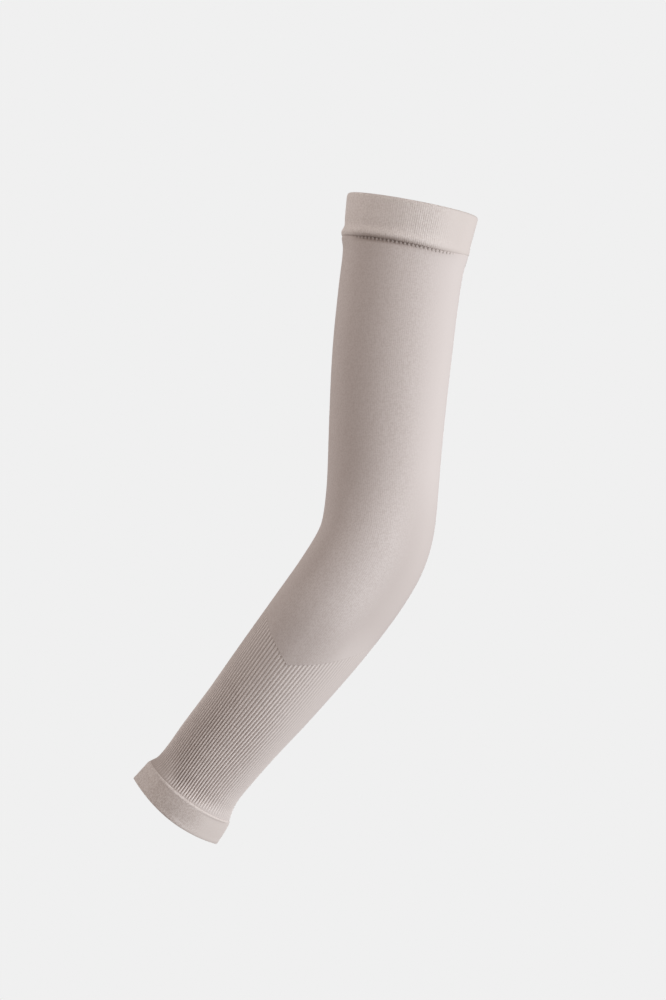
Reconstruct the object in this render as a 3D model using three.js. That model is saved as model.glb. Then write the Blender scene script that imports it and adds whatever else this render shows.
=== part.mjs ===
// Arm sleeve: a seamless knitted tube, in the shape that it has on a slightly bent arm.
// A doubled cuff closes on the upper arm. Below it a plain-knit body runs past the elbow, and from a
// V-shaped line on the forearm the knit goes on in fine lengthwise ribs to a doubled cuff at the wrist.
// Millimetres, +Z up. The origin is the centre of the upper opening. The forearm leans towards -X,
// the point of the elbow faces +X, and the point of the V faces -Y.

import * as THREE from 'three';

// Lengths along the centre line, from the upper opening.
const SLEEVE_LENGTH = 436;
const UPPER_CUFF_HEIGHT = 27.2;
const WRIST_CUFF_HEIGHT = 16.5;
const V_POINT_ALONG = 310;
const V_OUTER_RISE = 42; // how far the V line climbs from its point to the elbow side
const V_INNER_RISE = 22; // and to the side of the inner elbow
const V_POINT_TURN = THREE.MathUtils.degToRad(94); // from the elbow side towards -Y

// Knit walls.
const BODY_WALL = 1.0;
const RIB_WALL = 1.5; // from a rib's crest to the inside
const RIB_DEPTH = 0.6;
const RIB_COUNT = 88;
const RIB_RUN_IN = 3; // length in which a rib rises from the plain knit
const GAP = 0.3; // left free between neighbouring pieces
const UPPER_LAP = 6.5; // how far the body's end runs up behind the upper cuff
const WRIST_LAP = 3.5; // how far the ribs' end runs down behind the wrist cuff

// Mesh columns round the arm and rows along it.
const COLUMNS = 44;
const RIB_COLUMNS = 2 * RIB_COUNT;
const BODY_ROWS = 24;
const BODY_BEND_START = 0.6; // share of the body's length where its rows start to bend into the V

// The sleeve's outer face, a row for each section. along: place on the centre line. lean: angle of the
// centre line from straight down towards -X, and away: towards +Y, in degrees. skew: how far the oval
// swells on its inner front and outer back corners and sinks on the other two. crease: from 0 for an oval
// to 1 for a lens with a crease down each side.
const SECTIONS = [
  { along: 0, lean: 10.8, away: 0.9, halfWidth: 40.6, halfDepth: 34.0, skew: 0, crease: 0 },
  { along: 20, lean: 9.5, away: 0.1, halfWidth: 39.8, halfDepth: 33.3, skew: 0, crease: 0 },
  { along: 28, lean: 9.1, away: 0, halfWidth: 40.5, halfDepth: 33.5, skew: 0, crease: 0 },
  { along: 36, lean: 9.0, away: 0, halfWidth: 39.3, halfDepth: 33.0, skew: 0, crease: 0 },
  { along: 58, lean: 7.3, away: 0, halfWidth: 38.7, halfDepth: 32.7, skew: -0.5, crease: 0 },
  { along: 96, lean: 5.4, away: 0, halfWidth: 38.2, halfDepth: 32.5, skew: -0.8, crease: 0 },
  { along: 141, lean: 3.8, away: 0, halfWidth: 36.8, halfDepth: 32.0, skew: -0.5, crease: 0 },
  { along: 180, lean: 4.0, away: 0, halfWidth: 35.8, halfDepth: 31.8, skew: 0.8, crease: 0 },
  { along: 205, lean: 9.5, away: 1.5, halfWidth: 35.8, halfDepth: 32.4, skew: 2, crease: 0 },
  { along: 230, lean: 28.5, away: 4.5, halfWidth: 35.4, halfDepth: 33.0, skew: 3.4, crease: 0 },
  { along: 256, lean: 35.3, away: 6, halfWidth: 35.1, halfDepth: 33.6, skew: 3.4, crease: 0 },
  { along: 289, lean: 37.8, away: 6, halfWidth: 34.6, halfDepth: 33.5, skew: 2.2, crease: 0 },
  { along: 336, lean: 38.8, away: 6, halfWidth: 32.4, halfDepth: 30.6, skew: 0.8, crease: 0 },
  { along: 362, lean: 39.6, away: 6, halfWidth: 30.6, halfDepth: 27.7, skew: 0, crease: 0 },
  { along: 387, lean: 38.2, away: 6, halfWidth: 29.6, halfDepth: 24.8, skew: 0, crease: 0 },
  { along: 408, lean: 35.9, away: 6, halfWidth: 29.1, halfDepth: 23.4, skew: 0, crease: 0 },
  { along: 414, lean: 35.3, away: 6, halfWidth: 30.0, halfDepth: 24.1, skew: 0, crease: 0.2 },
  { along: 419, lean: 37.4, away: 6, halfWidth: 31.9, halfDepth: 26.0, skew: 0, crease: 0.4 },
  { along: 423, lean: 34.9, away: 6, halfWidth: 32.6, halfDepth: 26.9, skew: 0, crease: 0.6 },
  { along: 436, lean: 38.5, away: 6, halfWidth: 33.6, halfDepth: 27.8, skew: 0, crease: 1 },
];

// Cuff profiles: down the outer face, round the hem and up the inner face. below: place on the centre
// line from the cuff's upper edge. offset: height over the sleeve's outer face.
const UPPER_LAP_START = UPPER_CUFF_HEIGHT - UPPER_LAP;
const UPPER_CUFF_PROFILE = [
  { below: 0, offset: 1.3 },
  { below: 0.9, offset: 2.0 },
  { below: 10, offset: 1.9 },
  { below: 18.5, offset: 1.5 },
  { below: 21.5, offset: 1.5 },
  { below: 24, offset: 1.7 },
  { below: 26, offset: 1.4 },
  { below: UPPER_CUFF_HEIGHT, offset: 0.8 },
  { below: UPPER_CUFF_HEIGHT - 0.3, offset: GAP },
  { below: UPPER_LAP_START - GAP, offset: GAP },
  { below: UPPER_LAP_START - GAP, offset: -BODY_WALL },
  { below: 0.9, offset: -BODY_WALL },
  { below: 0, offset: -0.3 },
];
const WRIST_CUFF_PROFILE = [
  { below: 0, offset: 0.7 },
  { below: 0.8, offset: 1.1 },
  { below: 1.6, offset: 1.0 },
  { below: 2.6, offset: 0.7 },
  { below: 9, offset: 0.8 },
  { below: WRIST_CUFF_HEIGHT - 0.4, offset: 0.8 },
  { below: WRIST_CUFF_HEIGHT, offset: 0.4 },
  { below: WRIST_CUFF_HEIGHT, offset: -0.8 },
  { below: WRIST_CUFF_HEIGHT - 0.8, offset: -RIB_WALL },
  { below: WRIST_LAP + GAP, offset: -RIB_WALL },
  { below: WRIST_LAP + GAP, offset: GAP },
  { below: 0.2, offset: GAP },
];

const section = new THREE.CubicInterpolant(
  Float32Array.from(SECTIONS, (row) => row.along),
  Float32Array.from(SECTIONS.flatMap((row) => (
    [row.lean, row.away, row.halfWidth, row.halfDepth, row.skew, row.crease]
  ))),
  6,
);

// Direction of the centre line.
function direction(along) {
  const [leanDegrees, awayDegrees] = section.evaluate(along);
  const lean = THREE.MathUtils.degToRad(leanDegrees);
  const away = THREE.MathUtils.degToRad(awayDegrees);
  const drop = Math.cos(away);
  return new THREE.Vector3(-Math.sin(lean) * drop, Math.sin(away), -Math.cos(lean) * drop);
}

// The centre line, a point for each millimetre.
const spine = [new THREE.Vector3()];
for (let along = 0; along < SLEEVE_LENGTH; along += 1) {
  spine.push(spine[along].clone().add(direction(along + 0.5)));
}

function centre(along) {
  const start = Math.min(Math.floor(along), SLEEVE_LENGTH - 1);
  return spine[start].clone().lerp(spine[start + 1], along - start);
}

// A point of the sleeve: turn 0 faces the outer elbow, a quarter turn faces -Y. Equal turns give nearly
// equal steps round the oval section, so ribs keep one width.
function surfacePoint(along, turn, offset) {
  const tangent = direction(along);
  const [leanDegrees, , halfWidth, halfDepth, skew, crease] = section.evaluate(along);
  const lean = THREE.MathUtils.degToRad(leanDegrees);
  const across = new THREE.Vector3(Math.cos(lean), 0, -Math.sin(lean));
  const front = new THREE.Vector3().crossVectors(tangent, across);
  const ovalness = (halfWidth ** 2 - halfDepth ** 2) / (halfWidth ** 2 + halfDepth ** 2);
  const angle = turn + (ovalness / 4) * Math.sin(2 * turn);
  const grow = offset - skew * Math.sin(2 * turn);
  const depthShare = Math.sin(angle) * Math.abs(Math.sin(angle)) ** Math.max(crease, 0);
  return centre(along)
    .addScaledVector(across, (halfWidth + grow) * Math.cos(angle))
    .addScaledVector(front, (halfDepth + grow) * depthShare);
}

// A closed ring of points. place gives { along, offset } for a turn and a column.
function ring(columns, place) {
  const points = [];
  for (let column = 0; column < columns; column += 1) {
    const turn = (2 * Math.PI * column) / columns;
    const { along, offset } = place(turn, column);
    points.push(surfacePoint(along, turn, offset));
  }
  return points;
}

// Triangles between two rings, where one may have several columns for each of the other's.
function joinRings(triangles, upper, upperCount, lower, lowerCount) {
  const columns = Math.min(upperCount, lowerCount);
  const upperSteps = upperCount / columns;
  const lowerSteps = lowerCount / columns;
  for (let column = 0; column < columns; column += 1) {
    const upperAt = (step) => upper + ((column * upperSteps + step) % upperCount);
    const lowerAt = (step) => lower + ((column * lowerSteps + step) % lowerCount);
    let i = 0;
    let j = 0;
    while (i < upperSteps || j < lowerSteps) {
      const upperFirst = (i + 0.5) / upperSteps <= (j + 0.5) / lowerSteps;
      if (upperFirst && i < upperSteps) {
        triangles.push(upperAt(i), upperAt(i + 1), lowerAt(j));
        i += 1;
      } else {
        triangles.push(upperAt(i), lowerAt(j + 1), lowerAt(j));
        j += 1;
      }
    }
  }
}

// A closed hollow wall: rings go down the outside and up the inside, and the last joins the first.
function wall(rings) {
  const positions = rings.flatMap((points) => points.flatMap((point) => point.toArray()));
  const triangles = [];
  let start = 0;
  rings.forEach((points, index) => {
    const last = index === rings.length - 1;
    const next = last ? rings[0] : rings[index + 1];
    const nextStart = last ? 0 : start + points.length;
    joinRings(triangles, start, points.length, nextStart, next.length);
    start += points.length;
  });
  const geometry = new THREE.BufferGeometry();
  geometry.setAttribute('position', new THREE.Float32BufferAttribute(positions, 3));
  geometry.setIndex(triangles);
  geometry.computeVertexNormals();
  return geometry;
}

// How far the V line has climbed from its point. The back has the same V as the front.
function vRise(turn) {
  const fromElbow = turn <= Math.PI ? turn : 2 * Math.PI - turn;
  if (fromElbow < V_POINT_TURN) return V_OUTER_RISE * (1 - fromElbow / V_POINT_TURN);
  return (V_INNER_RISE * (fromElbow - V_POINT_TURN)) / (Math.PI - V_POINT_TURN);
}

// Plain-knit body. Its rows are level on the upper arm and bend into the V over the forearm.
function bodyRing(row, offset) {
  const top = UPPER_CUFF_HEIGHT - UPPER_LAP;
  const share = row / BODY_ROWS;
  const level = THREE.MathUtils.lerp(top, V_POINT_ALONG - GAP, share);
  const bend = THREE.MathUtils.smoothstep(share, BODY_BEND_START, 1);
  return ring(COLUMNS, (turn) => ({ along: level - bend * vRise(turn), offset }));
}

function sleeveBody() {
  const outer = [];
  const inner = [];
  for (let row = 0; row <= BODY_ROWS; row += 1) {
    outer.push(bodyRing(row, 0));
    inner.unshift(bodyRing(row, -BODY_WALL));
  }
  return wall([...outer, ...inner]);
}

// Ribbed forearm. Its rows are the V line, the end of the ribs' run-in, the arm's sections and the end
// behind the wrist cuff. Every other column is a groove, which sinks in over the first row.
function ribbedForearm() {
  const start = V_POINT_ALONG + GAP;
  const end = SLEEVE_LENGTH - WRIST_CUFF_HEIGHT + WRIST_LAP;
  const stations = SECTIONS.map((row) => row.along);
  const between = stations.filter((along) => along > start + RIB_RUN_IN && along < end);
  const rows = [
    (turn) => start - vRise(turn),
    (turn) => start - vRise(turn) + RIB_RUN_IN,
    ...[...between, end].map((along) => () => along),
  ];
  const outer = [];
  const inner = [];
  rows.forEach((alongAt, index) => {
    const groove = index === 0 ? 0 : -RIB_DEPTH;
    const inside = index === 0 ? -BODY_WALL : -RIB_WALL;
    outer.push(ring(RIB_COLUMNS, (turn, column) => (
      { along: alongAt(turn), offset: column % 2 === 0 ? 0 : groove }
    )));
    inner.unshift(ring(COLUMNS, (turn) => ({ along: alongAt(turn), offset: inside })));
  });
  return wall([...outer, ...inner]);
}

function cuff(start, profile) {
  return wall(profile.map(({ below, offset }) => (
    ring(COLUMNS, () => ({ along: start + below, offset }))
  )));
}

// Materials: matte warm grey yarn, a shade lighter where the knit is doubled.
function knit(colour) {
  return new THREE.MeshStandardMaterial({ color: colour, roughness: 0.9, metalness: 0 });
}

function piece(name, geometry, material) {
  const mesh = new THREE.Mesh(geometry, material);
  mesh.name = name;
  return mesh;
}

const plainKnit = knit(0xd2c6c1);
const ribKnit = knit(0xcfc3be);
const cuffKnit = knit(0xd8cdc8);

const armSleeve = new THREE.Group();
armSleeve.add(
  piece('upper_cuff', cuff(0, UPPER_CUFF_PROFILE), cuffKnit),
  piece('sleeve_body', sleeveBody(), plainKnit),
  piece('ribbed_forearm', ribbedForearm(), ribKnit),
  piece('wrist_cuff', cuff(SLEEVE_LENGTH - WRIST_CUFF_HEIGHT, WRIST_CUFF_PROFILE), cuffKnit),
);

export default armSleeve;
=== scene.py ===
# Arm sleeve: one seamless knitted tube with a doubled cuff at each end, in the form that it has on a
# slightly bent arm. The sections below follow it from the body to its cuffs. Metres, +Z up, the origin
# at the centre of the upper opening, the forearm leaning towards -X.
import math

import bpy
import numpy as np
from mathutils import Matrix, Vector


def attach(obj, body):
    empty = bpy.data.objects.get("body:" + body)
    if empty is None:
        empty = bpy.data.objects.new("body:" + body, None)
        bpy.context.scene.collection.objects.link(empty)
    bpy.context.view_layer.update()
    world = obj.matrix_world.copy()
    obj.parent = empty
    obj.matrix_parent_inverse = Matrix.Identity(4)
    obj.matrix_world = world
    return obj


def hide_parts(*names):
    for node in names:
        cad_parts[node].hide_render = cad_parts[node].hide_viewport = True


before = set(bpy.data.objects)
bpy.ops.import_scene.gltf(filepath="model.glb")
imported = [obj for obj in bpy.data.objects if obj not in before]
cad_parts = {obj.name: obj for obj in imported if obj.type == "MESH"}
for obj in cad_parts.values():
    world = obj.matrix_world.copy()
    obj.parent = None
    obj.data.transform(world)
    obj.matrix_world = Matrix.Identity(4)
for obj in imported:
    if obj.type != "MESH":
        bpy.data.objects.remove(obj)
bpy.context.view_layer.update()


# Sleeve body
# The plain-knit part of the tube, from under the upper cuff past the elbow to the V line on the forearm.
# Fine matte yarn in stocking stitch, knitted in the round without a seam and stretched over the arm.
MM = 0.001
SLEEVE_LENGTH = 436 * MM
UPPER_CUFF_HEIGHT = 27.2 * MM
UPPER_LAP = 6.5 * MM
BODY_WALL = 1.0 * MM
V_POINT = 310 * MM
V_POINT_TURN = math.radians(94)
V_OUTER_RISE = 42 * MM
V_INNER_RISE = 22 * MM
WALES = 176  # columns of stitches round the sleeve
COURSES = 400  # rows of stitches along it

# Columns: along the centre line in mm, lean towards -X and lean away from the viewer in degrees, half the
# width and half the depth of the outer face in mm, how far the oval swells on its inner front and outer
# back corners and sinks on the other two, and 0 for an oval to 1 for a lens with a crease down each side.
ARM_SECTIONS = np.array([
    (0, 10.8, 0.9, 40.6, 34, 0, 0),
    (20, 9.5, 0.1, 39.8, 33.3, 0, 0),
    (28, 9.1, 0, 40.5, 33.5, 0, 0),
    (36, 9, 0, 39.3, 33, 0, 0),
    (58, 7.3, 0, 38.7, 32.7, -0.5, 0),
    (96, 5.4, 0, 38.2, 32.5, -0.8, 0),
    (141, 3.8, 0, 36.8, 32, -0.5, 0),
    (180, 4, 0, 35.8, 31.8, 0.8, 0),
    (205, 9.5, 1.5, 35.8, 32.4, 2, 0),
    (230, 28.5, 4.5, 35.4, 33, 3.4, 0),
    (256, 35.3, 6, 35.1, 33.6, 3.4, 0),
    (289, 37.8, 6, 34.6, 33.5, 2.2, 0),
    (336, 38.8, 6, 32.4, 30.6, 0.8, 0),
    (362, 39.6, 6, 30.6, 27.7, 0, 0),
    (387, 38.2, 6, 29.6, 24.8, 0, 0),
    (408, 35.9, 6, 29.1, 23.4, 0, 0),
    (414, 35.3, 6, 30, 24.1, 0, 0.2),
    (419, 37.4, 6, 31.9, 26, 0, 0.4),
    (423, 34.9, 6, 32.6, 26.9, 0, 0.6),
    (436, 38.5, 6, 33.6, 27.8, 0, 1),
])


def smooth_through(knots, values, at):
    """Values at the given places on smooth curves through the knots."""
    slopes = np.diff(values, axis=0) / np.diff(knots)[:, None]
    tangents = np.vstack([slopes[:1], (slopes[1:] + slopes[:-1]) / 2, slopes[-1:]])
    piece = np.clip(np.searchsorted(knots, at, side="right") - 1, 0, len(knots) - 2)
    span = (knots[piece + 1] - knots[piece])[..., None]
    t = (at - knots[piece])[..., None] / span
    start, end = values[piece], values[piece + 1]
    rise = (1 - t) ** 2 * t * tangents[piece] - (1 - t) * t ** 2 * tangents[piece + 1]
    return start + (end - start) * t ** 2 * (3 - 2 * t) + rise * span


def arm_values(along):
    """Direction of the centre line, direction across the arm, half width, half depth, skew and crease."""
    values = smooth_through(ARM_SECTIONS[:, 0] * MM, ARM_SECTIONS[:, 1:], np.asarray(along, float))
    lean, away = np.radians(values[..., 0]), np.radians(values[..., 1])
    down = np.stack([-np.sin(lean) * np.cos(away), np.sin(away), -np.cos(lean) * np.cos(away)], -1)
    across = np.stack([np.cos(lean), np.zeros_like(lean), -np.sin(lean)], -1)
    half_width, half_depth, skew = (values[..., column] * MM for column in (2, 3, 4))
    return down, across, half_width, half_depth, skew, values[..., 5]


SPINE_STEP = 1 * MM
spine_places = np.arange(0, SLEEVE_LENGTH + SPINE_STEP / 2, SPINE_STEP)
spine_moves = arm_values(spine_places[:-1] + SPINE_STEP / 2)[0] * SPINE_STEP
spine = np.vstack([np.zeros(3), np.cumsum(spine_moves, axis=0)])
# Rounds off the two creases of the lens: 0 would leave a knife edge.
CREASE_ROUND = 0.25


def arm_point(along, turn, offset):
    """Points of the sleeve: turn 0 faces the outer elbow and a quarter turn the viewer."""
    down, across, half_width, half_depth, skew, crease = arm_values(along)
    front = np.cross(down, across)
    centre = np.stack([np.interp(along, spine_places, spine[:, axis]) for axis in range(3)], -1)
    oval = (half_width ** 2 - half_depth ** 2) / (half_width ** 2 + half_depth ** 2)
    angle = turn + oval / 4 * np.sin(2 * turn)
    grow = offset - skew * np.sin(2 * turn)
    sideways = ((half_width + grow) * np.cos(angle))[..., None] * across
    depth_share = np.sin(angle) * np.hypot(np.sin(angle), CREASE_ROUND) ** np.maximum(crease, 0)
    return centre + sideways + ((half_depth + grow) * depth_share)[..., None] * front


def smoothstep(low, high, value):
    """0 up to low, 1 from high on, and an even rise between."""
    share = np.clip((value - low) / (high - low), 0, 1)
    return share ** 2 * (3 - 2 * share)


def soft_band(value, rise, fall, fade=1.0):
    """A band with soft edges: it comes within rise, and goes within fall by the share that fade gives."""
    return smoothstep(*rise, value) * (1 - fade * smoothstep(*fall, value))


def degrees_from_elbow(turn):
    """Turn away from the outer elbow, the same over the front of the arm as over its back."""
    return np.degrees(np.minimum(turn, 2 * math.pi - turn))


FLAT_SLACK = 0.08


def knit_slack(turn):
    """How far the stitches stand out: the knit is pulled flat over the outer elbow's side."""
    return FLAT_SLACK + (1 - FLAT_SLACK) * smoothstep(40, 85, degrees_from_elbow(turn))


SEAM_MERGE = 0.002 * MM
SHARP_EDGE = math.radians(60)


def roll_round_arm(name, along, turn, offset, painted_shade):
    """Rolls a flat grid of cloth round the arm. Each grid row is a ring that goes down the outside or up
    the inside, and the last ring meets the first, so that the cloth is a closed wall. The last grid is
    painted shade, from 0 for none to 1 for the full shade of a groove."""
    turn = np.broadcast_to(turn, along.shape)
    along, turn, offset, painted_shade = (np.vstack([grid, grid[:1]]) for grid in (along, turn, offset, painted_shade))
    rows, columns = along.shape[0] - 1, along.shape[1] - 1
    bpy.ops.object.select_all(action="DESELECT")
    bpy.ops.mesh.primitive_grid_add(x_subdivisions=columns, y_subdivisions=rows, size=1)
    piece = bpy.context.object
    piece.name = piece.data.name = name
    mesh = piece.data
    flat = np.empty(len(mesh.vertices) * 3)
    mesh.vertices.foreach_get("co", flat)
    flat = flat.reshape(-1, 3) + 0.5
    column = np.rint(flat[:, 0] * columns).astype(int)
    row = np.rint(flat[:, 1] * rows).astype(int)
    places = arm_point(along[row, column], turn[row, column], offset[row, column])
    mesh.vertices.foreach_set("co", places.ravel())
    corner = np.empty(len(mesh.loops), dtype=np.int32)
    mesh.loops.foreach_get("vertex_index", corner)
    on_cloth = np.stack([column / columns, along[row, column] / SLEEVE_LENGTH], -1)
    mesh.uv_layers[0].data.foreach_set("uv", on_cloth[corner].ravel())
    shade_layer = mesh.attributes.new("painted_shade", "FLOAT", "POINT")
    shade_layer.data.foreach_set("value", painted_shade[row, column])
    slack = mesh.attributes.new("slack", "FLOAT", "POINT")
    slack.data.foreach_set("value", knit_slack(turn[row, column]))
    bpy.ops.object.mode_set(mode="EDIT")
    bpy.ops.mesh.select_all(action="SELECT")
    bpy.ops.mesh.remove_doubles(threshold=SEAM_MERGE)
    bpy.ops.object.mode_set(mode="OBJECT")
    bpy.ops.object.shade_smooth_by_angle(angle=SHARP_EDGE)
    return piece


def v_line(turn):
    """Where the plain knit ends: lowest at the front and back points, highest at the sides."""
    from_elbow = np.minimum(turn, 2 * math.pi - turn)
    outer = V_OUTER_RISE * (1 - from_elbow / V_POINT_TURN)
    inner = V_INNER_RISE * (from_elbow - V_POINT_TURN) / (math.pi - V_POINT_TURN)
    return V_POINT - np.maximum(outer, inner)


LEAST_PULL = 0.04
GROOVE_RUN_OUT = 0.88


def seam_pull(turn):
    """How strongly the upper cuff's seam draws in: fully on the inner side, hardly on the outer side."""
    return LEAST_PULL + (1 - LEAST_PULL) * smoothstep(15, 110, degrees_from_elbow(turn))


def seam_depth(turn):
    """How deep the groove under the seam is: it runs out again on the far inner side."""
    return seam_pull(turn) * (1 - GROOVE_RUN_OUT * smoothstep(128, 156, degrees_from_elbow(turn)))


BODY_COLUMNS = WALES
BODY_OUTER_ROWS = 120
BODY_INNER_ROWS = 44
BEND_START = 0.6  # share of the body's length from which its rings bend into the V
SEAM_DIP = 0.6 * MM
SEAM_DIP_LENGTH = 2.4 * MM
SEAM_CORE_BELOW = 0.6 * MM
SEAM_CORE_LENGTH = 1.3 * MM
SEAM_SWELL = 0.9 * MM
SEAM_SWELL_BELOW = 1 * MM
SEAM_SWELL_LENGTH = 2.2 * MM
# Shares of painted shade, from 0 for the colour of a stitch's crest to 1 for the colour of a groove.
# Ranges round the arm are in degrees from the outer elbow.
DIP_SHADE = 0.28
CORE_SHADE = 0.44
OUTER_SHADE = 0.07
FRONT_SHADE = 0.09
INNER_SHADE = 0.17
INNER_SHADE_LOSS = 0.7
ELBOW_SHADE = 0.15
ABOVE_V_SHADE = 0.12
# Columns: turn from the outer elbow in degrees, and how far the seam lies above its level there in mm.
SEAM_LINE = np.array([
    (0, 0.4),
    (50, -1.3),
    (88, -0.5),
    (115, 0.1),
    (150, 0.1),
    (180, 0),
])


def seam_at(turn):
    """Distance of the upper cuff's seam below the opening."""
    lift = smooth_through(SEAM_LINE[:, 0], SEAM_LINE[:, 1:], degrees_from_elbow(turn))
    return UPPER_CUFF_HEIGHT - lift[..., 0] * MM


body_turn = np.linspace(0, 2 * math.pi, BODY_COLUMNS + 1)[None, :]
body_degrees = degrees_from_elbow(body_turn)
body_top = UPPER_CUFF_HEIGHT - UPPER_LAP
outside_share = np.linspace(0, 1, BODY_OUTER_ROWS + 1)
inside_share = np.linspace(1, 0, BODY_INNER_ROWS + 1)
body_share = np.concatenate([outside_share, inside_share])[:, None]
body_outside = (np.arange(len(body_share)) <= BODY_OUTER_ROWS)[:, None]
body_bend = smoothstep(BEND_START, 1, body_share)
body_along = body_top + (V_POINT - body_top) * body_share - body_bend * (V_POINT - v_line(body_turn))
below_seam = body_along - seam_at(body_turn)
# The groove under the seam is a dip in the surface and also painted shade, with a darker painted shadow
# core just below the seam.
body_dip = np.exp(-(below_seam / SEAM_DIP_LENGTH) ** 2) * seam_depth(body_turn)
seam_core = np.exp(-((below_seam - SEAM_CORE_BELOW) / SEAM_CORE_LENGTH) ** 2) * seam_depth(body_turn)
# Painted shade darkens the knit a little all round, and more from the front round to the inner side.
painted_side_shade = OUTER_SHADE + FRONT_SHADE * smoothstep(50, 90, body_degrees)
inner_side = soft_band(body_degrees, rise=(90, 130), fall=(138, 170), fade=INNER_SHADE_LOSS)
painted_side_shade = painted_side_shade + INNER_SHADE * inner_side
# Painted light at the front of the elbow takes that painted shade away, and painted shade darkens the
# elbow's outer side.
at_elbow = soft_band(body_along, rise=(165 * MM, 215 * MM), fall=(255 * MM, 290 * MM))
painted_elbow_light = at_elbow * soft_band(body_degrees, rise=(45, 75), fall=(118, 140))
outer_elbow = at_elbow * (1 - smoothstep(42, 75, body_degrees))
# Just above the V painted shade darkens the outer half of the front, and painted light lightens the inner
# half.
near_v = smoothstep(245 * MM, 285 * MM, body_along)
outer_front = soft_band(body_degrees, rise=(42, 62), fall=(85, 100))
inner_front = soft_band(body_degrees, rise=(102, 120), fall=(132, 150))
# The body's painted shade and light, summed from the seam's groove, the sides, the elbow and the V.
body_painted_shade = DIP_SHADE * body_dip + CORE_SHADE * seam_core + painted_side_shade * (1 - painted_elbow_light)
body_painted_shade = body_painted_shade + ELBOW_SHADE * outer_elbow
body_painted_shade = body_painted_shade + ABOVE_V_SHADE * near_v * (outer_front - inner_front)
body_swell = np.exp(-((below_seam - SEAM_SWELL_BELOW) / SEAM_SWELL_LENGTH) ** 2)
body_swell = body_swell * smoothstep(140, 172, body_degrees)
body_relief = SEAM_SWELL * body_swell - SEAM_DIP * body_dip
body_offset = np.where(body_outside, body_relief, body_relief - BODY_WALL)
body_painted_shade_outside = np.where(body_outside, body_painted_shade, 0)
sleeve_body = roll_round_arm("body_knit", body_along, body_turn, body_offset, body_painted_shade_outside)


def math_node(tree, operation, *values):
    """A Math node's output, from sockets or plain numbers."""
    node = tree.nodes.new("ShaderNodeMath")
    node.operation = operation
    for socket, value in zip(node.inputs, values):
        if isinstance(value, bpy.types.NodeSocket):
            tree.links.new(value, socket)
        else:
            socket.default_value = value
    return node.outputs[0]


LEG_SLANT = 1.3  # courses that a yarn leg climbs in the width of one column
LOOP_SHARE = 0.6  # of a leg's height that comes and goes along its loop
WALE_SHARE = 0.6  # of the relief that is the rounding of a whole column
UNEVEN_SHARE = 0.25  # of the tone that differs from one stitch to the next


def make_knit_loops():
    """Stocking stitch: each stitch is a V of two slanting yarn legs, a little uneven."""
    tree = bpy.data.node_groups.new("knit_loops", "ShaderNodeTree")
    tree.interface.new_socket("Cloth Place", in_out="INPUT", socket_type="NodeSocketVector")
    tree.interface.new_socket("Wales", in_out="INPUT", socket_type="NodeSocketFloat")
    tree.interface.new_socket("Courses", in_out="INPUT", socket_type="NodeSocketFloat")
    tree.interface.new_socket("Height", in_out="OUTPUT", socket_type="NodeSocketFloat")
    tree.interface.new_socket("Tone", in_out="OUTPUT", socket_type="NodeSocketFloat")
    given = tree.nodes.new("NodeGroupInput")
    result = tree.nodes.new("NodeGroupOutput")
    place = tree.nodes.new("ShaderNodeSeparateXYZ")
    tree.links.new(given.outputs["Cloth Place"], place.inputs[0])
    across = math_node(tree, "MULTIPLY", place.outputs["X"], given.outputs["Wales"])
    along = math_node(tree, "MULTIPLY", place.outputs["Y"], given.outputs["Courses"])
    from_middle = math_node(tree, "PINGPONG", across, 0.5)
    climb = math_node(tree, "MULTIPLY", from_middle, LEG_SLANT)
    slanted = math_node(tree, "SUBTRACT", along, climb)
    leg = math_node(tree, "PINGPONG", from_middle, 0.25)
    leg_round = math_node(tree, "SINE", math_node(tree, "MULTIPLY", leg, 2 * math.pi))
    part_of_loop = math_node(tree, "FRACT", slanted)
    loop = math_node(tree, "SINE", math_node(tree, "MULTIPLY", part_of_loop, math.pi))
    stitch = tree.nodes.new("ShaderNodeCombineXYZ")
    tree.links.new(math_node(tree, "FLOOR", across), stitch.inputs["X"])
    tree.links.new(math_node(tree, "FLOOR", slanted), stitch.inputs["Y"])
    uneven = tree.nodes.new("ShaderNodeTexWhiteNoise")
    uneven.noise_dimensions = "2D"
    tree.links.new(stitch.outputs[0], uneven.inputs["Vector"])
    loop_round = math_node(tree, "MULTIPLY_ADD", loop, LOOP_SHARE, 1 - LOOP_SHARE)
    legs = math_node(tree, "MULTIPLY", leg_round, loop_round)
    wale = math_node(tree, "COSINE", math_node(tree, "MULTIPLY", from_middle, math.pi))
    leg_relief = math_node(tree, "MULTIPLY", legs, 1 - WALE_SHARE)
    relief = math_node(tree, "MULTIPLY_ADD", wale, WALE_SHARE, leg_relief)
    tree.links.new(relief, result.inputs["Height"])
    even_tone = math_node(tree, "MULTIPLY", relief, 1 - UNEVEN_SHARE)
    tone = math_node(tree, "MULTIPLY_ADD", uneven.outputs["Value"], UNEVEN_SHARE, even_tone)
    tree.links.new(tone, result.inputs["Tone"])
    return tree


knit_loops = make_knit_loops()
# The tone that the stitches even out to where the knit is pulled flat.
MIDDLE_TONE = 0.55
GAP_ROUGHNESS = 0.95
CREST_SHINE = 0.1


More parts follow.
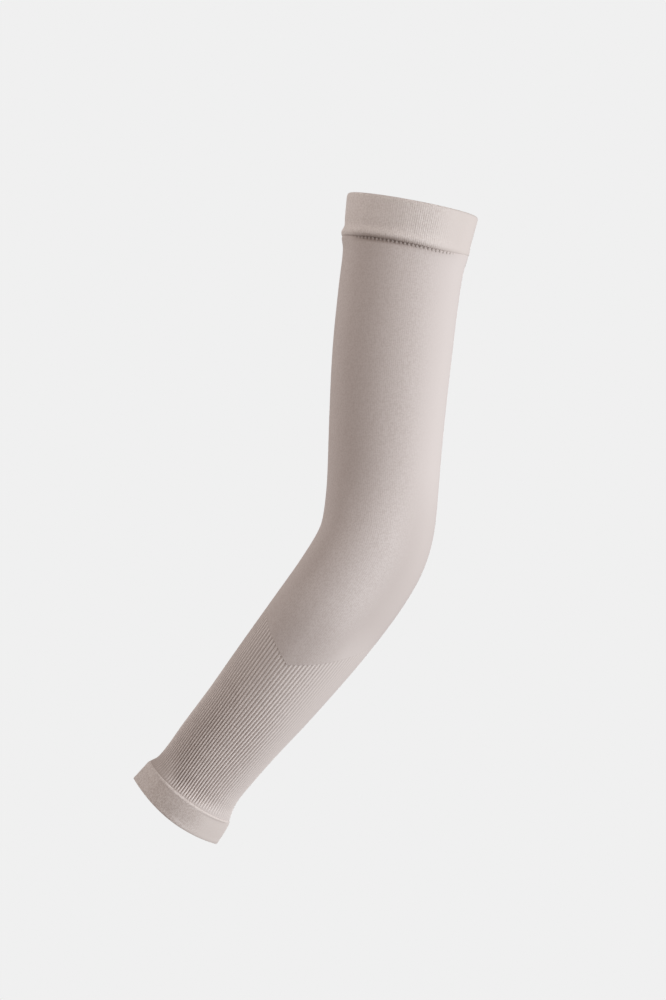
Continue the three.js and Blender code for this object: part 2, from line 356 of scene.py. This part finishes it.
def knit_material(name, yarn, gap, groove, wales, courses, bump, mottling):
    """Matte knit. yarn is the colour of a stitch's crest, gap of the places between stitches, and groove
    is the painted shade for a groove or fold. bump is the height of a stitch, and mottling how strongly
    fine clouds vary the tone."""
    material = bpy.data.materials.new(name)
    material.use_nodes = True
    tree = material.node_tree
    shader = tree.nodes["Principled BSDF"]
    shader.inputs["Sheen Weight"].default_value = 0.05
    shader.inputs["Sheen Roughness"].default_value = 0.45
    shader.inputs["Specular IOR Level"].default_value = 0.2
    cloth = tree.nodes.new("ShaderNodeUVMap")
    loops = tree.nodes.new("ShaderNodeGroup")
    loops.node_tree = knit_loops
    loops.inputs["Wales"].default_value = wales
    loops.inputs["Courses"].default_value = courses
    tree.links.new(cloth.outputs["UV"], loops.inputs["Cloth Place"])
    place = tree.nodes.new("ShaderNodeTexCoord")
    clouds = tree.nodes.new("ShaderNodeTexNoise")
    clouds.inputs["Scale"].default_value = 900
    clouds.inputs["Detail"].default_value = 3
    tree.links.new(place.outputs["Object"], clouds.inputs["Vector"])
    slack = tree.nodes.new("ShaderNodeAttribute")
    slack.attribute_name = "slack"
    contrast = math_node(tree, "SUBTRACT", loops.outputs["Tone"], MIDDLE_TONE)
    even = math_node(tree, "MULTIPLY_ADD", contrast, slack.outputs["Fac"], MIDDLE_TONE)
    cloudy = math_node(tree, "SUBTRACT", clouds.outputs["Fac"], 0.5)
    soft = math_node(tree, "MULTIPLY", cloudy, mottling)
    tone = math_node(tree, "MULTIPLY_ADD", soft, slack.outputs["Fac"], even)
    stitches = tree.nodes.new("ShaderNodeMix")
    stitches.data_type = "RGBA"
    stitches.inputs["A"].default_value = (*gap, 1)
    stitches.inputs["B"].default_value = (*yarn, 1)
    tree.links.new(tone, stitches.inputs["Factor"])
    # Painted shade: the groove colour is mixed in as far as the mesh's painted shade attribute gives.
    shade_attribute = tree.nodes.new("ShaderNodeAttribute")
    shade_attribute.attribute_name = "painted_shade"
    shaded = tree.nodes.new("ShaderNodeMix")
    shaded.data_type = "RGBA"
    shaded.inputs["B"].default_value = (*groove, 1)
    tree.links.new(shade_attribute.outputs["Fac"], shaded.inputs["Factor"])
    tree.links.new(stitches.outputs["Result"], shaded.inputs["A"])
    tree.links.new(shaded.outputs["Result"], shader.inputs["Base Color"])
    rough = math_node(tree, "MULTIPLY_ADD", loops.outputs["Tone"], -CREST_SHINE, GAP_ROUGHNESS)
    tree.links.new(rough, shader.inputs["Roughness"])
    relief = tree.nodes.new("ShaderNodeBump")
    relief.inputs["Distance"].default_value = bump
    relief.inputs["Strength"].default_value = 1.0
    height = math_node(tree, "MULTIPLY", loops.outputs["Height"], slack.outputs["Fac"])
    tree.links.new(height, relief.inputs["Height"])
    tree.links.new(relief.outputs["Normal"], shader.inputs["Normal"])
    return material


plain_knit = knit_material(
    "plain_knit",
    yarn=(0.81, 0.738, 0.717), gap=(0.717, 0.64, 0.614), groove=(0.36, 0.285, 0.255),
    wales=WALES, courses=COURSES, bump=0.06 * MM, mottling=4.2,
)
sleeve_body.data.materials.append(plain_knit)
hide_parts("sleeve_body")
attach(sleeve_body, "root")


# Ribbed forearm
# The lower part of the same tube, knitted in fine lengthwise ribs that start crisply along the V line
# and run down to the wrist cuff. The ribs are raised columns of stitches with deep grooves between.
WRIST_CUFF_HEIGHT = 16.5 * MM
WRIST_LAP = 3.5 * MM
RIB_COUNT = 88
COLUMNS_PER_RIB = 6
RIB_OUTER_ROWS = 64
RIB_INNER_ROWS = 14
RIB_START_ROWS = 6
RIB_DEPTH = 0.9 * MM
RIB_WALL = 1.5 * MM
RIB_RUN_IN = 0.6 * MM
RIB_RUN_OUT = 1.2 * MM
RIB_STOP = 0.5 * MM
GROOVE_POWER = 1.4  # above 1 a groove is narrower than the rib beside it
THIN_START = 0.9  # share of the way up the inside from which the wall thins to that of the body
FLARE_START = 406 * MM
# Shares of the full depth of the ribs.
OUTER_DEPTH = 0.4
INNER_LOSS = 0.5
FLARE_LOSS = 0.8
UPPER_DEPTH = 0.56
WRIST_GAIN = 0.1
# Shares of painted shade where the ribs are shallow, in a groove, more in the inner grooves, and in
# patches.
FLAT_SHADE = 0.38
GROOVE_SHADE = 0.55
GROOVE_SHADE_POWER = 1.5
INNER_CONTRAST = 0.75
ABOVE_WRIST_SHADE = 0.13
BELOW_V_SHADE = 0.13
FAR_INNER_SHADE = 0.1

rib_turn = np.linspace(0, 2 * math.pi, RIB_COUNT * COLUMNS_PER_RIB + 1)[None, :]
rib_degrees = degrees_from_elbow(rib_turn)
rib_start = v_line(rib_turn)
wrist_seam = SLEEVE_LENGTH - WRIST_CUFF_HEIGHT
rib_end = wrist_seam + WRIST_LAP
run_in_rows = np.linspace(0, RIB_RUN_IN, RIB_START_ROWS)[:, None]
rib_share = np.linspace(0, 1, RIB_OUTER_ROWS)[1:, None]
rib_outside_along = np.vstack([
    rib_start + run_in_rows,
    rib_start + RIB_RUN_IN + (rib_end - rib_start - RIB_RUN_IN) * rib_share,
])
rib_inside_share = np.linspace(0, 1, RIB_INNER_ROWS)[:, None]
rib_inside_along = rib_end + (rib_start - rib_end) * rib_inside_share
rib_along = np.vstack([rib_outside_along, rib_inside_along])
# The ribs start at the V and stop short of the wrist's seam. They are shallower over both sides of the
# arm, near the V, and on the inner side of the flare at the wrist.
groove_shape = (0.5 - 0.5 * np.cos(RIB_COUNT * rib_turn)) ** GROOVE_POWER
groove_in = smoothstep(0, RIB_RUN_IN, rib_outside_along - rib_start)
groove_end = wrist_seam - RIB_STOP
groove_out = 1 - smoothstep(groove_end - RIB_RUN_OUT, groove_end, rib_outside_along)
outer_fade = OUTER_DEPTH + (1 - OUTER_DEPTH) * smoothstep(20, 80, rib_degrees)
inner_fade = 1 - INNER_LOSS * smoothstep(150, 180, rib_degrees)
flare_side = smoothstep(398 * MM, 416 * MM, rib_outside_along) * smoothstep(105, 140, rib_degrees)
flare_fade = 1 - FLARE_LOSS * flare_side
rib_spread = UPPER_DEPTH + (1 - UPPER_DEPTH) * smoothstep(315 * MM, 375 * MM, rib_outside_along)
rib_spread = rib_spread + WRIST_GAIN * smoothstep(380 * MM, 410 * MM, rib_outside_along)
rib_strength = groove_in * groove_out * outer_fade * inner_fade * rib_spread * flare_fade
rib_outside_offset = -RIB_DEPTH * groove_shape * rib_strength
rib_inside_offset = -RIB_WALL + (RIB_WALL - BODY_WALL) * smoothstep(THIN_START, 1, rib_inside_share)
rib_offset = np.vstack([rib_outside_offset, rib_inside_offset + np.zeros_like(rib_turn)])
# Painted shade fills the grooves, darker on the inner side, and darkens the ribs above the wrist, below
# the inner arm of the V and on the far inner side.
rib_contrast = rib_strength * (1 + INNER_CONTRAST * smoothstep(92, 126, rib_degrees))
rib_painted_shade = FLAT_SHADE * np.maximum(1 - rib_contrast, 0)
rib_painted_shade = rib_painted_shade + GROOVE_SHADE * groove_shape ** GROOVE_SHADE_POWER * rib_contrast
above_wrist = smoothstep(400 * MM, 411 * MM, rib_outside_along) * smoothstep(40, 85, rib_degrees)
below_v = (1 - smoothstep(325 * MM, 360 * MM, rib_outside_along)) * smoothstep(85, 125, rib_degrees)
rib_painted_shade = rib_painted_shade + ABOVE_WRIST_SHADE * above_wrist + BELOW_V_SHADE * below_v
rib_painted_shade = rib_painted_shade + FAR_INNER_SHADE * smoothstep(132, 165, rib_degrees)
rib_painted_shade_all = np.vstack([rib_painted_shade, np.zeros_like(rib_inside_along)])
# Where the wrist flares the ribs run nearly straight on, and hardly fan out with it.
flare_width = arm_values(np.maximum(rib_along, FLARE_START))[2]
rib_flare = 1 - arm_values(FLARE_START)[2] / flare_width
straight_turn = np.arccos(np.cos(rib_turn) * (1 - rib_flare * np.sin(rib_turn) ** 2))
straight_turn = np.where(rib_turn > math.pi, 2 * math.pi - straight_turn, straight_turn)
ribbed_forearm = roll_round_arm("forearm_knit", rib_along, straight_turn, rib_offset, rib_painted_shade_all)
rib_knit = knit_material(
    "rib_knit",
    yarn=(0.94, 0.865, 0.84), gap=(0.91, 0.835, 0.81), groove=(0.34, 0.27, 0.24),
    wales=WALES, courses=COURSES, bump=0.015 * MM, mottling=0.2,
)
ribbed_forearm.data.materials.append(rib_knit)
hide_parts("ribbed_forearm")
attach(ribbed_forearm, "root")


# Upper cuff
# A doubled welt: the knit is turned over at the opening and linked down inside, so the band is thick and
# soft, its fold is rounded, and its lower edge swells into a roll above the seam.
CUFF_COLUMNS = 2 * WALES
CUFF_ROWS = 70
ROLL_SWELL = 1.25
FAR_ROLL_LOSS = 0.25
# Shares of painted shade.
UNDER_ROLL_SHADE = 0.75
CUFF_OUTER_SHADE = 0.24
CUFF_FRONT_SHADE = 0.07
# Columns: distance below the opening and height over the sleeve's outer face in mm, and how much of that
# height is the swelling of the roll. Rows go down the outside, under the roll and up the inside.
UPPER_CUFF_PROFILE = np.array([
    (0.0, 0.75, 0),
    (0.2, 1.3, 0),
    (0.7, 1.7, 0),
    (1.5, 1.95, 0),
    (2.6, 2.05, 0),
    (5, 2.0, 0),
    (10, 1.85, 0),
    (15, 1.6, 0),
    (18.0, 1.4, -0.15),
    (20.0, 1.2, -0.15),
    (21.6, 1.05, 0.3),
    (23.2, 0.9, 1.0),
    (24.8, 0.7, 1.05),
    (26.2, 0.4, 0.75),
    (26.9, 0.1, 0.4),
    (27.2, -0.1, 0.05),
    (26.9, -0.25, 0),
    (25.5, -0.25, 0),
    (21.0, -0.25, 0),
    (20.0, -0.9, 0),
    (15, -1.0, 0),
    (8, -1.0, 0),
    (1.6, -1.0, 0),
    (0.5, -0.7, 0),
    (0.1, -0.1, 0),
])


def round_profile(profile, rows):
    """Even steps along a smooth closed curve through a profile's points."""
    closed = np.vstack([profile, profile[:1]])
    steps_between = np.linalg.norm(np.diff(closed[:, :2], axis=0), axis=1)
    walked = np.concatenate([[0], np.cumsum(steps_between)])
    places = np.linspace(0, walked[-1], rows, endpoint=False)
    return smooth_through(walked, closed, places)


cuff_turn = np.linspace(0, 2 * math.pi, CUFF_COLUMNS + 1)[None, :]
cuff_degrees = degrees_from_elbow(cuff_turn)
cuff_profile = round_profile(UPPER_CUFF_PROFILE, CUFF_ROWS)[:, None, :]
cuff_below, cuff_height, roll_height = (cuff_profile[..., column] for column in range(3))
# The seam wanders up and down, and takes the lower part of the band with it.
seam_shift = (seam_at(cuff_turn) - UPPER_CUFF_HEIGHT) * smoothstep(12, 24, cuff_below)
cuff_along = np.maximum(cuff_below * MM + seam_shift, 0)
roll_swell = seam_pull(cuff_turn) * (ROLL_SWELL - FAR_ROLL_LOSS * smoothstep(140, 175, cuff_degrees))
cuff_offset = (cuff_height + roll_height * roll_swell) * MM
# Painted shade darkens the band most under the roll, and a little on its outer side and at the front.
under_roll = smoothstep(23.6, 27.0, cuff_below) * seam_depth(cuff_turn)
cuff_outer = 1 - smoothstep(30, 75, cuff_degrees)
cuff_front = soft_band(cuff_degrees, rise=(45, 70), fall=(105, 130))
cuff_front = cuff_front * (1 - smoothstep(15, 20, cuff_below))
cuff_painted_shade = UNDER_ROLL_SHADE * under_roll + CUFF_OUTER_SHADE * cuff_outer
cuff_painted_shade = cuff_painted_shade + CUFF_FRONT_SHADE * cuff_front
upper_cuff = roll_round_arm("upper_cuff_knit", cuff_along, cuff_turn, cuff_offset, cuff_painted_shade)
cuff_knit = knit_material(
    "cuff_knit",
    yarn=(0.91, 0.835, 0.805), gap=(0.78, 0.70, 0.665), groove=(0.38, 0.30, 0.265),
    wales=WALES, courses=COURSES, bump=0.26 * MM, mottling=3.5,
)
upper_cuff.data.materials.append(cuff_knit)
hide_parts("upper_cuff")
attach(upper_cuff, "root")


# Cuff stitches
# The row of yarn loops that links the turned-over welt to the body. Each loop bridges the groove under
# the cuff's roll, one for every two columns of stitches.
STITCH_COUNT = WALES // 2
STITCH_LENGTH = 2.1 * MM
STITCH_WIDTH = 1.5 * MM
STITCH_THICKNESS = 0.4 * MM
STITCH_TOP = 0.3 * MM  # above the seam
STITCH_FOOT = 1.7 * MM  # below the seam
# Heights over the sleeve's outer face. The seam's pull lifts a loop's top onto the roll and draws its foot
# into the groove, and the loops of the outer side are sunk into the tight knit.
TOP_HEIGHT = -0.1 * MM
TOP_LIFT = 0.35 * MM
FOOT_HEIGHT = -0.15 * MM
FOOT_DROP = 0.3 * MM
OUTER_SINK = 0.3 * MM

bpy.ops.object.select_all(action="DESELECT")
bpy.ops.mesh.primitive_uv_sphere_add(segments=10, ring_count=8, radius=0.5)
first_stitch = bpy.context.object
bpy.ops.object.mode_set(mode="EDIT")
bpy.ops.mesh.select_all(action="SELECT")
bpy.ops.transform.resize(value=(STITCH_WIDTH, STITCH_THICKNESS, STITCH_LENGTH))
bpy.ops.object.mode_set(mode="OBJECT")
stitch_shape = first_stitch.data.copy()
bpy.data.objects.remove(first_stitch)
stitches = []
for index in range(STITCH_COUNT):
    turn = 2 * math.pi * (index + 0.5) / STITCH_COUNT
    pull = seam_pull(turn)
    seam = seam_at(np.array(turn))
    sunk = OUTER_SINK * (1 - smoothstep(20, 60, degrees_from_elbow(turn)))
    upper = Vector(arm_point(seam - STITCH_TOP, turn, TOP_HEIGHT + TOP_LIFT * pull - sunk))
    lower = Vector(arm_point(seam + STITCH_FOOT, turn, FOOT_HEIGHT - FOOT_DROP * pull - sunk))
    outward = Vector(arm_point(np.array(UPPER_CUFF_HEIGHT), turn, 1 * MM))
    outward -= Vector(arm_point(np.array(UPPER_CUFF_HEIGHT), turn, 0.0))
    down = (lower - upper).normalized()
    side = outward.cross(down).normalized()
    turned = Matrix((side, down.cross(side), down)).transposed().to_4x4()
    mesh = stitch_shape.copy()
    mesh.transform(Matrix.Translation((upper + lower) / 2) @ turned)
    stitch = bpy.data.objects.new(f"stitch_{index}", mesh)
    bpy.context.collection.objects.link(stitch)
    stitches.append(stitch)
bpy.ops.object.select_all(action="DESELECT")
for stitch in stitches:
    stitch.select_set(True)
bpy.context.view_layer.objects.active = stitches[0]
bpy.ops.object.join()
cuff_stitches = bpy.context.object
cuff_stitches.name = cuff_stitches.data.name = "cuff_stitches"
bpy.ops.object.shade_smooth()


def yarn_material(name, light, dark):
    """Twisted yarn: fine slanting bands of lighter and darker fibre."""
    material = bpy.data.materials.new(name)
    material.use_nodes = True
    tree = material.node_tree
    shader = tree.nodes["Principled BSDF"]
    shader.inputs["Roughness"].default_value = 0.9
    shader.inputs["Sheen Weight"].default_value = 0.12
    place = tree.nodes.new("ShaderNodeTexCoord")
    twist = tree.nodes.new("ShaderNodeTexWave")
    twist.bands_direction = "DIAGONAL"
    twist.inputs["Scale"].default_value = 900
    twist.inputs["Distortion"].default_value = 2
    tree.links.new(place.outputs["Object"], twist.inputs["Vector"])
    fibres = tree.nodes.new("ShaderNodeMix")
    fibres.data_type = "RGBA"
    fibres.inputs["A"].default_value = (*dark, 1)
    fibres.inputs["B"].default_value = (*light, 1)
    tree.links.new(twist.outputs["Fac"], fibres.inputs["Factor"])
    tree.links.new(fibres.outputs["Result"], shader.inputs["Base Color"])
    relief = tree.nodes.new("ShaderNodeBump")
    relief.inputs["Distance"].default_value = 0.05 * MM
    tree.links.new(twist.outputs["Fac"], relief.inputs["Height"])
    tree.links.new(relief.outputs["Normal"], shader.inputs["Normal"])
    return material


# The link yarn is coloured darker than the knit's yarn, as painted shade for the groove under the roll
# where the loops lie.
link_yarn = yarn_material("link_yarn", light=(0.59, 0.52, 0.495), dark=(0.47, 0.40, 0.37))
cuff_stitches.data.materials.append(link_yarn)
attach(cuff_stitches, "root")


# Wrist cuff
# A doubled hem, turned inside at the wrist opening. Where it is linked to the ribs the seam stands up as
# a thin ridge, and the band below it is plain and smooth.
WRIST_CUFF_ROWS = 64
# Shares of painted shade.
HEM_FRONT_SHADE = 0.2
HEM_FRONT_LOSS = 0.8
HEM_OUTER_SHADE = 0.08
# Columns as in the upper cuff's profile, with the distance measured from the seam and the ridge as the
# swelling.
WRIST_CUFF_PROFILE = np.array([
    (-0.3, 0.02, 0.03),
    (0.0, 0.2, 0.3),
    (0.45, 0.42, 0.48),
    (0.9, 0.5, 0.45),
    (1.35, 0.55, 0.27),
    (1.9, 0.57, 0.08),
    (3.0, 0.6, 0),
    (8, 0.75, 0),
    (13, 0.8, 0),
    (16.2, 0.78, 0),
    (16.45, 0.65, 0),
    (16.5, 0.3, 0),
    (16.5, -0.9, 0),
    (16.2, -1.4, 0),
    (15.6, -1.5, 0),
    (10, -1.5, 0),
    (4.6, -1.5, 0),
    (3.9, -1.2, 0),
    (3.4, -0.3, 0),
    (1.5, -0.2, 0),
])
wrist_profile = round_profile(WRIST_CUFF_PROFILE, WRIST_CUFF_ROWS)[:, None, :]
hem_below, hem_height, ridge_height = (wrist_profile[..., column] for column in range(3))
wrist_along = np.minimum(wrist_seam + hem_below * MM, SLEEVE_LENGTH) + np.zeros_like(cuff_turn)
ridge_fade = soft_band(cuff_degrees, rise=(8, 30), fall=(150, 172))
wrist_offset = (hem_height + ridge_height * ridge_fade) * MM
# Painted shade darkens the front's upper part under the ridge, and a little of it covers the outer side.
hem_front = soft_band(cuff_degrees, rise=(48, 72), fall=(88, 115))
hem_upper = soft_band(hem_below, rise=(1.5, 3), fall=(8, 15), fade=HEM_FRONT_LOSS)
hem_outer = 1 - smoothstep(90, 118, cuff_degrees)
wrist_painted_shade = HEM_FRONT_SHADE * hem_front * hem_upper + HEM_OUTER_SHADE * hem_outer
wrist_cuff = roll_round_arm("wrist_cuff_knit", wrist_along, cuff_turn, wrist_offset, wrist_painted_shade)
hem_knit = knit_material(
    "hem_knit",
    yarn=(0.86, 0.785, 0.755), gap=(0.71, 0.63, 0.595), groove=(0.36, 0.285, 0.255),
    wales=WALES, courses=COURSES, bump=0.1 * MM, mottling=5.5,
)
wrist_cuff.data.materials.append(hem_knit)
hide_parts("wrist_cuff")
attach(wrist_cuff, "root")


# Floor and backdrop
# A plain pale studio: a round floor with an upright wall all round it, lit to one even tone.
FLOOR_HEIGHT = -0.62
SWEEP_RADIUS = 4.0
SWEEP_HEIGHT = 5.0
SWEEP_TONE = 0.871

bpy.ops.object.select_all(action="DESELECT")
bpy.ops.mesh.primitive_circle_add(
    vertices=96, radius=SWEEP_RADIUS, fill_type="NGON", location=(0, 0, FLOOR_HEIGHT)
)
studio_sweep = bpy.context.object
studio_sweep.name = studio_sweep.data.name = "studio_sweep"
bpy.ops.object.transform_apply(location=True)
bpy.ops.object.mode_set(mode="EDIT")
bpy.ops.mesh.select_all(action="SELECT")
bpy.ops.mesh.extrude_region_move(TRANSFORM_OT_translate={"value": (0, 0, SWEEP_HEIGHT)})
bpy.ops.mesh.select_all(action="SELECT")
bpy.ops.mesh.normals_make_consistent(inside=True)
bpy.ops.object.mode_set(mode="OBJECT")
pale = bpy.data.materials.new("pale_sweep")
pale.use_nodes = True
pale.node_tree.nodes.remove(pale.node_tree.nodes["Principled BSDF"])
glow = pale.node_tree.nodes.new("ShaderNodeEmission")
glow.inputs["Color"].default_value = (SWEEP_TONE, SWEEP_TONE, SWEEP_TONE, 1)
pale.node_tree.links.new(glow.outputs[0], pale.node_tree.nodes["Material Output"].inputs["Surface"])
studio_sweep.data.materials.append(pale)
studio_sweep.visible_diffuse = False
studio_sweep.visible_glossy = False
studio_sweep.visible_shadow = False


# Light
# A broad cool key light from the right, a small warm one from above on the left, a soft one from behind on
# the left that lights the edge, and a warm even surround.
world = bpy.data.worlds.new("surround")
world.use_nodes = True
world.node_tree.nodes["Background"].inputs["Color"].default_value = (0.44, 0.395, 0.37, 1)
world.node_tree.nodes["Background"].inputs["Strength"].default_value = 0.64
bpy.context.scene.world = world

LIGHT_AIM = Vector((-0.05, 0.0, -0.20))


def soft_light(name, azimuth, elevation, distance, size, power, colour):
    """A square soft light that faces the object. Azimuth 0 is the camera's side and 90 the right."""
    light = bpy.data.lights.new(name, "AREA")
    light.size = size
    light.energy = power
    light.color = colour
    lamp = bpy.data.objects.new(name, light)
    side, rise = math.radians(azimuth), math.radians(elevation)
    way = Vector((math.sin(side) * math.cos(rise), -math.cos(side) * math.cos(rise), math.sin(rise)))
    lamp.location = LIGHT_AIM + way * distance
    lamp.rotation_euler = way.to_track_quat("Z", "Y").to_euler()
    bpy.context.collection.objects.link(lamp)


soft_light("key", azimuth=66, elevation=-6, distance=2.0, size=1.4, power=35.5, colour=(0.92, 0.97, 1.0))
soft_light("top", azimuth=-45, elevation=50, distance=1.0, size=0.8, power=2.6, colour=(1.0, 0.95, 0.91))
soft_light("edge", azimuth=-115, elevation=5, distance=2.0, size=1.2, power=8, colour=(1.0, 0.97, 0.95))


# Camera
# Level with the elbow, a little under two metres away, looking along +Y.
camera = bpy.data.cameras.new("camera")
camera.lens = 100
camera.sensor_width = 36
viewer = bpy.data.objects.new("camera", camera)
viewer.location = (-0.05115, -1.7778, -0.1886)
viewer.rotation_euler = (math.radians(90), 0, 0)
bpy.context.collection.objects.link(viewer)
bpy.context.scene.camera = viewer
bpy.context.scene.view_settings.view_transform = "Standard"
